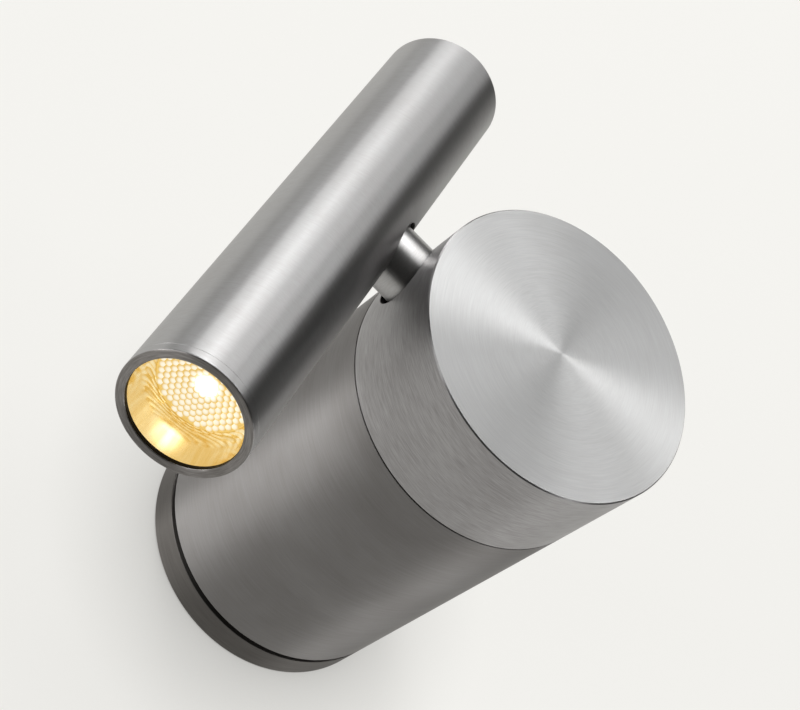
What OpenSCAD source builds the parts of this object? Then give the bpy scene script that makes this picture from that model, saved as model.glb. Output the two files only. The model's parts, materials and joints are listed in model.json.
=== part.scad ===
// Tube wall light: a round body stands out from the wall, a head turns on its front,
// and a tube with a spot lamp swivels on a short arm at the side of the head.
// The wall is the plane y = 0, the light stands out along -Y, and +Z is up.
// The origin is the middle of the wall base's back face.

/* [Body] */
// Outside diameter of the wall base, the body and the head
body_d = 60; // [58:1:72]
// Depth of the wall base's visible rim
base_rim_h = 7.5; // [6:0.5:12]
// Height of the shadow gap between the wall base and the body
shadow_gap_h = 1.5; // [1:0.25:3]
// Length of the body shell
shell_h = 71.5; // [69:0.5:100]
// Wall of the body shell
shell_wall = 2.5; // [2.2:0.1:3.5]

/* [Head] */
// Gap at the seam where the head turns on the body
seam_gap = 0.3; // [0.2:0.05:0.5]
// Length of the head
head_h = 24.7; // [24:0.1:32]
// Wall of the head's side
head_wall = 3; // [2.5:0.25:4]
// Thickness of the head's front face
head_face_t = 3; // [2:0.25:4]
// Distance from the head's rear edge to the arm's axis
arm_back = 10.6; // [10.6:0.1:12.5]

/* [Arm] */
// Outside diameter of the arm
arm_d = 13; // [12:0.25:13.5]
// Gap all round the arm where it enters the head and the tube
arm_hole_gap = 1.1; // [0.5:0.1:1.6]
// Gap between the side of the head and the side of the tube
arm_reach = 4; // [3:0.25:12]
// Bore of the arm, which the lamp's lead runs through
arm_bore_d = 5; // [4:0.25:5.5]

/* [Spot tube] */
// Outside diameter of the tube
spot_d = 25; // [24:0.25:32]
// Length of the tube with its front ring
spot_l = 123.1; // [116:0.5:170]
// Distance from the tube's rear end to the arm's axis
spot_back = 52; // [40:0.5:58]
// Wall of the tube
spot_wall = 0.9; // [0.8:0.05:1]
// Angle that the light end stands out from the wall, at rest
swing = 10; // [0:1:30]
// Visible length of the front ring
bezel_h = 2; // [1.8:0.1:4]
// Width of the front ring's face, from the outside to its opening
bezel_rim_w = 1.8; // [1.8:0.1:3]
// Depth of the honeycomb lens behind the front ring's face
lens_depth = 8.8; // [7:0.2:12]
// Distance between the middles of two honeycomb cells
cell_pitch = 1.3; // [1.2:0.1:2.5]

/* [Mounting] */
// Distance from the inside of the base ring to the middle of a wall screw hole
screw_inset = 4.9; // [3:0.1:7]
// Diameter of the wall screw holes
screw_hole_d = 4.5; // [4:0.25:5]
// Bore of the cable grommet
cable_d = 8; // [6:0.5:9]

/* [Hidden] */
$fn = 96;

// Clearances
overrun = 1;
slip_gap = 0.1;
screw_gap = 0.05;
running_gap = 0.05;
edge = 0.3;
fine_edge = 0.15;

// Screws
m3_r = 1.5;
m3_head_r = 2.75;
m3_head_h = 1.6;
m3_sink_h = 1.5;
m4_r = 2;
m25_r = 1.25;
m25_head_r = 2.1;
m25_head_h = 1.4;
socket_share = 0.55;
slot_share = 0.35;

// Wall base
base_r = body_d / 2;
base_floor_t = 3;
spigot_h = 14;
spigot_wall = 2.5;
spigot_ro = base_r - shell_wall - slip_gap;
spigot_ri = spigot_ro - spigot_wall;
spigot_front = base_rim_h + spigot_h;
seal_inset = 1.4;
screw_x = spigot_ri - screw_inset;
tray_post_r = 3.5;
tray_post_y = spigot_ri - tray_post_r - slip_gap;
tray_screw_l = 9;
earth_boss_r = 4;
earth_boss_h = 1.5;
earth_hole_floor = 0.8;
earth_x = 9;
earth_y = 12;
earth_head_r = 4;
earth_head_h = 2.6;
earth_washer_r = 3.6;
earth_washer_t = 0.8;
grommet_wall = 2;
grommet_flange = 1.5;
grommet_flange_t = 1.5;
cable_r = cable_d / 2;
grommet_r = cable_r + grommet_wall;

// Body shell
shell_ro = base_r;
shell_ri = shell_ro - shell_wall;
shell_back = base_rim_h + shadow_gap_h;
shell_front = shell_back + shell_h;
lip_t = 2;
lip_w = 2;
circlip_t = 1.1;
circlip_groove = 0.9;
circlip_w = 2.6;
circlip_open_angle = 24;
grub_angles = [55, 125];
grub_z = shell_back + spigot_h / 3;
grub_l = shell_wall + spigot_wall - edge;

// Bearing plate
bearing_t = 4;
bearing_step = 0.2;
bearing_front = shell_front - bearing_step;
bearing_back = shell_front - lip_t - bearing_t;
stop_pin_r = 1.25;
stop_ring_gap = 3.8;
stop_pin_out = 2;
stop_web_angle = 16;
groove_depth = 1.7;
groove_gap = 0.35;

// Driver and its wiring
driver_t = 22;
driver_side_gap = 7.25;
driver_w = 2 * sqrt(pow(shell_ri - driver_side_gap, 2) - pow(driver_t / 2, 2));
driver_corner = 2;
driver_stand = 3.3;
driver_end_gap = 5.9;
tray_t = 1.2;
tray_edge_gap = 1.5;
tray_wire_gap = 2;
driver_back = spigot_front + tray_t + driver_stand;
shelf_y = -driver_t / 2 - tray_t;
shelf_inset = 3;
shelf_w = driver_w - 2 * shelf_inset;
shelf_short = 2;
tie_t = 1;
tie_w = 4;
terminal_side_gap = 11.9;
terminal_edge_gap = 7.4;
terminal_gap = 1;
terminal_w = 2 * (spigot_ri - terminal_side_gap);
terminal_y = -spigot_ri + terminal_edge_gap;
terminal_h = -terminal_y - grommet_r - grommet_flange - terminal_gap;
terminal_l = 12;
terminal_poles = 3;
terminal_front = base_floor_t + terminal_l;
terminal_pole_w = terminal_w / terminal_poles;
terminal_slot_w = 1.4;
clamp_r = 1.6;
clamp_h = 0.7;
wire_r = 1;
wire_inset = 3;
wire_x = terminal_w / 2 - wire_inset;
tray_w = 2 * (wire_x - wire_r - tray_wire_gap);
lead_r = 1.5;
lead_gap = 0.1;

// Head
head_back = shell_front + seam_gap;
head_front = head_back + head_h;
head_ri = base_r - head_wall;
arm_z = head_back + arm_back;
plate_inset = 0.3;
plate_t = 3;
plate_back = head_back + plate_inset;
plate_front = plate_back + plate_t;
post_r = 3.3;
post_ring_r = head_ri - post_r - head_wall / 2;
post_angles = [0, 120, 240];
post_screw_l = 10;
glide_gap = 0.1;
glide_edge_gap = 3.5;
glide_w = 5;
glide_ro = head_ri - glide_edge_gap;
glide_ri = glide_ro - glide_w;
stop_ring_r = glide_ri - stop_ring_gap;

// Spindle and its nut
spindle_r = 5;
spindle_bore_r = 3;
spindle_flange_r = 6.8;
spindle_flange_t = 1.5;
washer_r = 8.5;
washer_t = 0.8;
spring_r = 8;
spring_t = 0.5;
spring_h = 1.2;
spindle_nut_flats = 14;
spindle_nut_t = 5;
spindle_tail = 1.5;
nut_front = bearing_back - slip_gap - washer_t - spring_h;
spindle_back = nut_front - spindle_nut_t - spindle_tail;
driver_front = spindle_back - driver_end_gap;
driver_l = driver_front - driver_back;

// Swivel block and the arm's stack, measured from the body's axis towards the tube
block_inset = 3;
block_out = head_ri - block_inset;
block_w = 22;
block_top_gap = 0.6;
block_screw_y = 8;
block_screw_l = 9;
arm_r = arm_d / 2;
arm_bore_r = arm_bore_d / 2;
journal_r = 4;
arm_washer_t = 0.4;
shoulder = block_out + arm_washer_t + slip_gap;
arm_spring_r = 5.3;
arm_spring_t = 0.4;
arm_spring_h = 1;
stop_washer_t = 1.2;
stop_washer_r = 5.3;
stop_tooth_r = 7;
stop_tooth_w = 2;
swivel_pin_r = 0.8;
swivel_pin_ring_r = 6.6;
swivel_pin_in = 3;
swivel_pin_gap = 0.3;
arm_nut_flats = 12;
arm_nut_t = 3.5;
journal_tail = 0.5;
lead_bend_r = 5;
journal_stand = 2.7;
journal_in = lead_bend_r + journal_stand;
arm_nut_in = journal_in + journal_tail;
stop_washer_in = arm_nut_in + arm_nut_t;
arm_spring_in = stop_washer_in + stop_washer_t;
block_in = arm_spring_in + arm_spring_h + slip_gap;
block_t = block_out - block_in;

// Spot tube, measured along its own axis from the arm's axis
spot_r = spot_d / 2;
spot_ri = spot_r - spot_wall;
spot_x = base_r + arm_reach + spot_r;
spot_front = spot_l - spot_back;
tube_front = spot_front - bezel_h;
arm_end = 4.5;
arm_end_x = spot_x - arm_end;
cap_t = 3;
cap_recess = 0.3;
bezel_r = spot_r - bezel_rim_w;
bezel_lip_t = 1;
bezel_spigot_wall = 0.45;
bezel_spigot_ro = spot_ri - running_gap;
bezel_spigot_ri = bezel_spigot_ro - bezel_spigot_wall;
reflector_r = bezel_spigot_ri - slip_gap;
reflector_throat_share = 0.85;
reflector_throat_r = bezel_r * reflector_throat_share;
reflector_bulge = 0.15;
lens_t = 1.5;
lens_relief = 0.3;
cell_groove = 0.2;
holder_l = 14.9;
chip_r = 4;
chip_t = 0.7;
collimator_lip = 0.9;
collimator_r = reflector_throat_r + collimator_lip;
collimator_flange_t = 1.2;
collimator_throat_r = 4.3;
collimator_wall_gap = 0.3;
board_r = 9.8;
board_t = 1.6;
pad_t = 0.3;
led_screw_ring = 7.2;
led_screw_l = 5;
lead_hole_r = 2.2;
spot_bend_r = 3;
spot_lead_r = 1.2;
sink_rear = 12;
sink_groove_w = 2;
sink_groove_depth = 1.5;
sink_groove_pitch = 5;
sink_groove_count = 5;
sink_groove_start = 12;
lens_front = spot_front - lens_depth;
lens_back = lens_front - lens_t;
board_front = lens_back - holder_l;
board_back = board_front - board_t;
sink_front = board_back - pad_t;

// Places local z along the way out of the wall, local x to the right and local y up
module out_of_wall() rotate([90, 0, 0]) children();

// Places local z from the body's axis towards the tube, and local x up
module along_arm() translate([0, -arm_z, 0]) rotate([0, -90, 0]) children();

// Places local z towards the tube's rear end, and local x from the tube towards the head
module along_spot() translate([-spot_x, -arm_z, 0]) rotate([-swing, 0, 0]) children();

// A plain ring between two heights
module ring(ro, ri, from, to) {
    rotate_extrude() translate([ri, from]) square([ro - ri, to - from]);
}

// A ring whose outer corners are chamfered at both ends
module edged_ring(ro, ri, from, to, low_edge, high_edge) {
    rotate_extrude() polygon([
        [ri, from], [ro - low_edge, from], [ro, from + low_edge],
        [ro, to - high_edge], [ro - high_edge, to], [ri, to]
    ]);
}

// A round rod between two heights
module rod(r, from, to) translate([0, 0, from]) cylinder(r = r, h = to - from);

// A hexagonal prism between two heights, by its width across flats
module hexagon(flats, from, to) {
    translate([0, 0, from]) cylinder(d = flats / cos(30), h = to - from, $fn = 6);
}

// A hexagon nut with a round hole, its corners turned off at both faces
module nut(flats, hole_r, from, to) {
    corner_r = flats / cos(30) / 2;
    difference() {
        intersection() {
            hexagon(flats, from, to);
            edged_ring(corner_r, 0, from, to, corner_r - flats / 2, corner_r - flats / 2);
        }
        rod(hole_r, from - overrun, to + overrun);
    }
}

// A disc spring: a thin cone that is high at its hole
module disc_spring(ro, ri, t, from, to) {
    rotate_extrude() polygon([[ri, to - t], [ri, to], [ro, from + t], [ro, from]]);
}

// A countersunk screw whose flat face is at z = 0 and whose shank points along +z
module sunk_screw(r, head_r, sink_h, l) {
    difference() {
        rotate_extrude() polygon([[0, 0], [head_r, 0], [r, sink_h], [r, l], [0, l]]);
        hexagon(head_r, -overrun, sink_h * socket_share);
    }
}

// The hole that a countersunk screw sits in
module sunk_hole(r, head_r, sink_h, l) {
    rotate_extrude() polygon([
        [0, -overrun], [head_r + screw_gap, -overrun], [head_r + screw_gap, 0],
        [r + screw_gap, sink_h], [r + screw_gap, l + screw_gap], [0, l + screw_gap]
    ]);
}

// A pan head screw whose head stands on z = 0 and whose shank points along -z
module pan_screw(r, head_r, head_h, l) {
    difference() {
        union() {
            edged_ring(head_r, 0, 0, head_h, 0, fine_edge);
            rod(r, -l, 0);
        }
        hexagon(head_r, head_h * socket_share, head_h + overrun);
    }
}

// A grub screw from z = 0 along -z, with a hexagon socket in its outer end
module grub_screw(r, l) {
    difference() {
        rod(r, -l, 0);
        hexagon(r, -l * socket_share, overrun);
    }
}

// A rectangle with round corners, centred
module round_rectangle(w, h, r) {
    square([w - 2 * r, h], center = true);
    square([w, h - 2 * r], center = true);
    for (x = [-1, 1], y = [-1, 1]) translate([x * (w / 2 - r), y * (h / 2 - r)]) circle(r);
}

// A lead that runs up local z, bends towards local x and runs on to x = reach
module bent_lead(r, from, bend_r, turn_z, reach) {
    rod(r, from, turn_z - bend_r);
    translate([bend_r, 0, turn_z - bend_r]) rotate([90, 0, 0]) rotate(90)
        rotate_extrude(angle = 90) translate([bend_r, 0]) circle(r);
    translate([bend_r, 0, turn_z]) rotate([0, 90, 0]) rod(r, 0, reach - bend_r);
}

// The places of the wall screws on the local plane
module at_wall_screws() {
    for (side = [-1, 1]) translate([side * screw_x, 0, 0]) children();
}

// The places of the tray's two posts
module at_tray_posts() {
    for (side = [-1, 1]) translate([0, side * tray_post_y, 0]) children();
}

// The places of the terminal block's clamp screws, on the block's front face
module at_terminal_clamps() {
    for (i = [0 : terminal_poles - 1]) {
        translate([-terminal_w / 2 + (i + 0.5) * terminal_pole_w, terminal_y + terminal_h / 2,
                   terminal_front]) children();
    }
}

// The places of the body's grub screws, local z pointing out of the shell's side
module at_grub_screws() {
    for (a = grub_angles) rotate(a) translate([0, 0, grub_z]) rotate([0, 90, 0]) children();
}

// The places of the head plate's screws, on the plate's rear face
module at_posts() {
    for (a = post_angles) rotate(a) translate([post_ring_r, 0, plate_back]) children();
}

// The places of the swivel block's screws, on the head plate's rear face
module at_block_screws() {
    for (side = [-1, 1]) {
        translate([-(block_in + block_out) / 2, side * block_screw_y, plate_back]) children();
    }
}

// The places of the LED board's screws, local z towards the tube's rear end
module at_led_screws() {
    for (a = [0, 180]) rotate(a) translate([0, led_screw_ring, 0]) children();
}

module wall_plate() color("#8d8b88") out_of_wall() difference() {
    union() {
        rod(spigot_ri - screw_gap, 0, base_floor_t);
        translate([earth_x, earth_y, 0]) rod(earth_boss_r, 0, base_floor_t + earth_boss_h);
    }
    rod(grommet_r, -overrun, base_floor_t + overrun);
    at_wall_screws() rod(screw_hole_d / 2, -overrun, base_floor_t + overrun);
    translate([earth_x, earth_y, 0])
        rod(m4_r + screw_gap, earth_hole_floor, base_floor_t + earth_boss_h + overrun);
}

module base_ring() color("#8d8b88") out_of_wall() difference() {
    union() {
        edged_ring(base_r, spigot_ri, 0, base_rim_h, fine_edge, fine_edge);
        ring(spigot_ro, spigot_ri, 0, spigot_front);
    }
    at_grub_screws() rod(m4_r + screw_gap, spigot_ri - overrun, base_r + overrun);
}

module cable_grommet() color("#222222") out_of_wall() difference() {
    union() {
        rod(grommet_r - screw_gap, 0, base_floor_t + grommet_flange_t);
        rod(grommet_r + grommet_flange, base_floor_t, base_floor_t + grommet_flange_t);
    }
    rod(cable_r, -overrun, base_floor_t + grommet_flange_t + overrun);
}

module earth_screw() color("#c9a24a") out_of_wall() translate([earth_x, earth_y, 0]) {
    boss_top = base_floor_t + earth_boss_h;
    ring(earth_washer_r, m4_r, boss_top, boss_top + earth_washer_t);
    translate([0, 0, boss_top + earth_washer_t])
        pan_screw(m4_r, earth_head_r, earth_head_h, earth_washer_t + boss_top - earth_hole_floor);
}

module gap_seal() color("#161616") out_of_wall() {
    ring(base_r - seal_inset, spigot_ro + screw_gap, base_rim_h, shell_back);
}

module body_shell() color("#8f8d8a") out_of_wall() difference() {
    edged_ring(shell_ro, shell_ri - lip_w, shell_back, shell_front, fine_edge, fine_edge);
    rod(shell_ri, shell_back - overrun, shell_front - lip_t);
    ring(shell_ri + circlip_groove, shell_ri - overrun,
         bearing_back - circlip_t - screw_gap, bearing_back);
    at_grub_screws() rod(m4_r + screw_gap, spigot_ri, base_r + overrun);
}

module body_grub_screws() color("#5d5c5a") out_of_wall() {
    at_grub_screws() translate([0, 0, shell_ro - edge]) grub_screw(m4_r, grub_l);
}

module bearing_plate() color("#b9bbbd") out_of_wall() difference() {
    union() {
        rod(shell_ri - slip_gap, bearing_back, shell_front - lip_t);
        rod(shell_ri - lip_w - slip_gap, shell_front - lip_t, bearing_front);
    }
    rod(spindle_r + running_gap, bearing_back - overrun, bearing_front + overrun);
    translate([0, stop_ring_r, 0]) rod(stop_pin_r, bearing_back - overrun, bearing_front + overrun);
}

module plate_circlip() color("#6f6d6a") out_of_wall() {
    rotate(90 + circlip_open_angle / 2)
        rotate_extrude(angle = 360 - circlip_open_angle)
            translate([shell_ri + circlip_groove - slip_gap - circlip_w, bearing_back - circlip_t])
                square([circlip_w, circlip_t]);
}

module head_stop_pin() color("#7a7875") out_of_wall() {
    translate([0, stop_ring_r, 0]) rod(stop_pin_r, bearing_back, bearing_front + stop_pin_out);
}

module terminal_block() color("#efece2") out_of_wall() difference() {
    translate([-terminal_w / 2, terminal_y, base_floor_t]) cube([terminal_w, terminal_h, terminal_l]);
    at_terminal_clamps() rod(clamp_r + screw_gap, -2 * clamp_h, overrun);
    for (i = [1 : terminal_poles - 1]) {
        translate([-terminal_w / 2 + i * terminal_pole_w - terminal_slot_w / 2, terminal_y - overrun,
                   terminal_front - clamp_r])
            cube([terminal_slot_w, terminal_h + 2 * overrun, clamp_r + overrun]);
    }
}

module terminal_screws() color("#a9a6a0") out_of_wall() at_terminal_clamps() difference() {
    slot_w = clamp_r * slot_share;
    rod(clamp_r, -2 * clamp_h, -clamp_h);
    translate([-clamp_r - overrun, -slot_w / 2, -clamp_h - slot_w])
        cube([2 * clamp_r + 2 * overrun, slot_w, slot_w + overrun]);
}

module tray_posts() color("#b4b6b8") out_of_wall() at_tray_posts() difference() {
    rod(tray_post_r, base_floor_t, spigot_front);
    rod(m3_r + screw_gap, spigot_front - tray_screw_l, spigot_front + overrun);
}

module driver_tray() color("#b4b6b8") out_of_wall() difference() {
    union() {
        translate([-tray_w / 2, -spigot_ro + tray_edge_gap, spigot_front])
            cube([tray_w, 2 * (spigot_ro - tray_edge_gap), tray_t]);
        translate([-shelf_w / 2, shelf_y, spigot_front])
            cube([shelf_w, tray_t, driver_front - shelf_short - spigot_front]);
    }
    at_tray_posts() rod(m3_r + screw_gap, spigot_front - overrun, spigot_front + tray_t + overrun);
}

module tray_screws() color("#8f8d89") out_of_wall() {
    at_tray_posts() translate([0, 0, spigot_front + tray_t])
        pan_screw(m3_r, m3_head_r, m3_head_h, tray_screw_l);
}

module driver() color("#e6e6e2") out_of_wall() translate([0, 0, driver_back]) {
    linear_extrude(driver_l) round_rectangle(driver_w, driver_t, driver_corner);
}

module driver_tie() color("#f2f0e8") out_of_wall() {
    inner_w = driver_w + 2 * screw_gap;
    inner_h = driver_t + tray_t + 2 * screw_gap;
    translate([0, -tray_t / 2, driver_back + driver_l / 2 - tie_w / 2]) linear_extrude(tie_w)
        difference() {
            round_rectangle(inner_w + 2 * tie_t, inner_h + 2 * tie_t, driver_corner + tie_t);
            round_rectangle(inner_w, inner_h, tie_t);
        }
}

module supply_leads() color("#6a4a32") out_of_wall() {
    wire_y = -driver_t / 2 + wire_r + slip_gap;
    for (side = [-1, 1]) translate([side * wire_x, wire_y, 0])
        rod(wire_r, terminal_front, driver_back);
}

module driver_lead() color("#d8d4c8") out_of_wall() rod(lead_r, driver_front, spindle_back - lead_gap);

module head_shell() color("#a3a2a0") difference() {
    out_of_wall() difference() {
        union() {
            difference() {
                edged_ring(base_r, 0, head_back, head_front, fine_edge, edge);
                rod(head_ri, head_back - overrun, head_front - head_face_t);
            }
            for (a = post_angles) rotate(a) translate([post_ring_r, 0, 0])
                rod(post_r, plate_front, head_front - head_face_t / 2);
        }
        at_posts() sunk_hole(m3_r, m3_head_r, m3_sink_h, post_screw_l);
    }
    along_arm() rod(arm_r + arm_hole_gap, block_out, base_r + overrun);
}

module head_plate() color("#b9bbbd") out_of_wall() difference() {
    rod(head_ri - slip_gap, plate_back, plate_front);
    rod(spindle_r + screw_gap, plate_back - overrun, plate_front + overrun);
    difference() {
        ring(stop_ring_r + stop_pin_r + groove_gap, stop_ring_r - stop_pin_r - groove_gap,
             plate_back - overrun, plate_back + groove_depth);
        rotate(-90 - stop_web_angle / 2) rotate_extrude(angle = stop_web_angle)
            translate([0, plate_back - 2 * overrun]) square([head_ri, plate_t + 2 * overrun]);
    }
    at_posts() sunk_hole(m3_r, m3_head_r, m3_sink_h, post_screw_l);
    at_block_screws() sunk_hole(m3_r, m3_head_r, m3_sink_h, block_screw_l);
}

module head_plate_screws() color("#8f8d89") out_of_wall() {
    at_posts() sunk_screw(m3_r, m3_head_r, m3_sink_h, post_screw_l);
}

module spindle() color("#c2a45a") out_of_wall() difference() {
    union() {
        rod(spindle_r, spindle_back, plate_front + spindle_flange_t);
        rod(spindle_flange_r, plate_front, plate_front + spindle_flange_t);
    }
    rod(spindle_bore_r, spindle_back - overrun, plate_front + spindle_flange_t + overrun);
}

module glide_ring() color("#ece9df") out_of_wall() {
    ring(glide_ro, glide_ri, bearing_front + glide_gap, plate_back);
}

module spindle_washer() color("#ece9df") out_of_wall() {
    ring(washer_r, spindle_r + screw_gap, nut_front + spring_h, bearing_back - slip_gap);
}

module spindle_disc_spring() color("#8a8783") out_of_wall() {
    disc_spring(spring_r, spindle_r + screw_gap, spring_t, nut_front, nut_front + spring_h);
}

module spindle_nut() color("#c2a45a") out_of_wall() {
    nut(spindle_nut_flats, spindle_r + screw_gap, nut_front - spindle_nut_t, nut_front);
}

module swivel_block() color("#b9bbbd") difference() {
    out_of_wall() difference() {
        translate([-block_out, -block_w / 2, plate_front])
            cube([block_t, block_w, head_front - head_face_t - block_top_gap - plate_front]);
        at_block_screws() sunk_hole(m3_r, m3_head_r, m3_sink_h, block_screw_l);
    }
    along_arm() rod(journal_r + running_gap, block_in - overrun, block_out + overrun);
    along_arm() translate([swivel_pin_ring_r, 0, 0])
        rod(swivel_pin_r, block_in - overrun, block_in + swivel_pin_in);
}

module swivel_block_screws() color("#8f8d89") out_of_wall() {
    at_block_screws() sunk_screw(m3_r, m3_head_r, m3_sink_h, block_screw_l);
}

module swivel_stop_pin() color("#7a7875") along_arm() translate([swivel_pin_ring_r, 0, 0]) {
    rod(swivel_pin_r, stop_washer_in + swivel_pin_gap, block_in + swivel_pin_in);
}

module head_lead() color("#d8d4c8") out_of_wall() rotate(180) {
    bent_lead(lead_r, spindle_back, lead_bend_r, arm_z, journal_in - lead_gap);
}

module arm() color("#9c9a97") along_arm() difference() {
    union() {
        rod(journal_r, journal_in, shoulder);
        edged_ring(arm_r, 0, shoulder, arm_end_x, fine_edge, fine_edge);
    }
    rod(arm_bore_r, journal_in - overrun, arm_end_x + overrun);
}

module arm_washer() color("#ece9df") along_arm() {
    ring(arm_r - edge, journal_r + screw_gap, shoulder - arm_washer_t, shoulder);
}

module arm_disc_spring() color("#8a8783") along_arm() {
    disc_spring(arm_spring_r, journal_r + screw_gap, arm_spring_t,
                arm_spring_in, arm_spring_in + arm_spring_h);
}

module swivel_stop_washer() color("#9a9894") along_arm() difference() {
    union() {
        rod(stop_washer_r, stop_washer_in, arm_spring_in);
        rotate(swing) translate([-stop_tooth_r, -stop_tooth_w / 2, stop_washer_in])
            cube([stop_tooth_r, stop_tooth_w, stop_washer_t]);
    }
    rod(journal_r + screw_gap, stop_washer_in - overrun, arm_spring_in + overrun);
}

module arm_nut() color("#c2a45a") along_arm() {
    nut(arm_nut_flats, journal_r + screw_gap, arm_nut_in, stop_washer_in);
}

// The arm's grub screw stands beside the tube's axis, over the arm's side
module at_arm_grub() {
    grub_x = (arm_end + spot_ri) / 2;
    translate([grub_x, 0, arm_r + screw_gap]) children();
}

module arm_grub_screw() color("#5d5c5a") along_spot() {
    at_arm_grub() translate([0, 0, sink_rear - arm_r - screw_gap])
        grub_screw(m4_r, sink_rear - arm_r - screw_gap);
}

module spot_tube() color("#a3a2a0") difference() {
    along_spot() edged_ring(spot_r, spot_ri, -tube_front, spot_back, 0, fine_edge);
    along_arm() rod(arm_r + arm_hole_gap, spot_x - spot_r - overrun, spot_x);
}

module rear_cap() color("#9b9997") along_spot() {
    edged_ring(spot_ri - screw_gap, 0, spot_back - cap_recess - cap_t, spot_back - cap_recess,
               fine_edge, fine_edge);
}

module front_bezel() color("#7d7b79") along_spot() {
    ring(spot_r, bezel_spigot_ri, -tube_front - bezel_h + bezel_lip_t, -tube_front);
    ring(bezel_spigot_ro, bezel_spigot_ri, -tube_front - bezel_h + bezel_lip_t, -lens_front);
    edged_ring(spot_r, bezel_r, -spot_front, -spot_front + bezel_lip_t, edge, 0);
}

module reflector() color("#e8c878") along_spot() {
    front = -spot_front + bezel_lip_t;
    rotate_extrude() polygon([
        [bezel_r, front],
        [(bezel_r + reflector_throat_r) / 2 + reflector_bulge, (front - lens_front) / 2],
        [reflector_throat_r, -lens_front], [reflector_r, -lens_front], [reflector_r, front]
    ]);
}

// Cells stand in rows, every second row shifted by half a pitch, inside the throat
module honeycomb() {
    rows = floor(reflector_throat_r / (cell_pitch * cos(30)));
    cell_r = (cell_pitch - cell_groove) / cos(30) / 2;
    for (row = [-rows : rows], i = [-rows - 1 : rows + 1]) {
        x = (i + (row % 2 == 0 ? 0 : 0.5)) * cell_pitch;
        y = row * cell_pitch * cos(30);
        if (norm([x, y]) + cell_r < reflector_throat_r) {
            translate([x, y]) rotate(30) circle(r = cell_r, $fn = 6);
        }
    }
}

module honeycomb_lens() color("#fff2cf") along_spot() {
    rod(reflector_r, -lens_front + lens_relief, -lens_back);
    ring(reflector_r, reflector_throat_r, -lens_front, -lens_front + lens_relief);
    translate([0, 0, -lens_front]) linear_extrude(lens_relief) honeycomb();
}

module collimator() color("#dfe6ea") along_spot() {
    back = -board_front - chip_t - slip_gap;
    rotate_extrude() polygon([
        [0, -lens_back], [collimator_r, -lens_back], [collimator_r, -lens_back + collimator_flange_t],
        [collimator_r - collimator_wall_gap, -lens_back + collimator_flange_t],
        [collimator_throat_r, back], [0, back]
    ]);
}

module lens_holder() color("#26262a") along_spot() difference() {
    rod(spot_ri - slip_gap, -lens_back, -board_front);
    rotate_extrude() polygon([
        [0, -lens_back - overrun], [collimator_r + screw_gap, -lens_back - overrun],
        [collimator_r + screw_gap, -lens_back + collimator_flange_t],
        [collimator_throat_r + collimator_wall_gap, -board_front - chip_t],
        [collimator_throat_r + collimator_wall_gap, -board_front + overrun],
        [0, -board_front + overrun]
    ]);
    at_led_screws()
        rod(m25_head_r + slip_gap, -board_front - m25_head_h - slip_gap, -board_front + overrun);
}

module led_chip() color("#f4d35e") along_spot() rod(chip_r, -board_front - chip_t, -board_front);

module led_board() color("#f5f5f2") along_spot() difference() {
    rod(board_r, -board_front, -board_back);
    at_led_screws() rod(m25_r + screw_gap, -board_front - overrun, -board_back + overrun);
}

module led_screws() color("#8f8d89") along_spot() {
    at_led_screws() translate([0, 0, -board_front]) rotate([180, 0, 0])
        pan_screw(m25_r, m25_head_r, m25_head_h, led_screw_l);
}

module thermal_pad() color("#9aa3ad") along_spot() difference() {
    rod(board_r, -board_back, -sink_front);
    rod(lead_hole_r, -board_back - overrun, -sink_front + overrun);
    at_led_screws() rod(m25_r + screw_gap, -board_back - overrun, -sink_front + overrun);
}

module heat_sink() color("#c4c6c8") difference() {
    along_spot() difference() {
        rod(spot_ri - slip_gap, -sink_front, sink_rear);
        for (i = [0 : sink_groove_count - 1]) {
            low = -sink_front + sink_groove_start + i * sink_groove_pitch - sink_groove_w;
            ring(spot_ri + overrun, spot_ri - slip_gap - sink_groove_depth, low, low + sink_groove_w);
        }
        rod(lead_hole_r, -sink_front - overrun, 0);
        at_arm_grub() rod(m4_r + screw_gap, 0, sink_rear);
        at_led_screws()
            rod(m25_r + screw_gap, -sink_front - overrun, -board_front + led_screw_l + slip_gap);
    }
    along_arm() {
        rod(arm_r + screw_gap, spot_x - spot_r, arm_end_x + screw_gap);
        rod(lead_hole_r, arm_end_x, spot_x);
        translate([0, 0, spot_x]) sphere(lead_hole_r);
    }
}

module spot_lead() color("#d8d4c8") {
    along_spot() bent_lead(spot_lead_r, -board_back, spot_bend_r, 0, spot_x - journal_in);
}

wall_plate();
base_ring();
cable_grommet();
earth_screw();
gap_seal();
body_shell();
body_grub_screws();
bearing_plate();
plate_circlip();
head_stop_pin();
terminal_block();
terminal_screws();
tray_posts();
driver_tray();
tray_screws();
driver();
driver_tie();
supply_leads();
driver_lead();
head_shell();
head_plate();
head_plate_screws();
spindle();
glide_ring();
spindle_washer();
spindle_disc_spring();
spindle_nut();
swivel_block();
swivel_block_screws();
swivel_stop_pin();
head_lead();
arm();
arm_washer();
arm_disc_spring();
swivel_stop_washer();
arm_nut();
arm_grub_screw();
spot_tube();
rear_cap();
front_bezel();
reflector();
honeycomb_lens();
collimator();
lens_holder();
led_chip();
led_board();
led_screws();
thermal_pad();
heat_sink();
spot_lead();
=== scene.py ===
"""Tube wall light: the shown surfaces, finishes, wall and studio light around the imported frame."""

import json
import math

import bmesh
import bpy
from bpy.props import FloatProperty, FloatVectorProperty, IntProperty, PointerProperty
from mathutils import Matrix, Vector


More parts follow.
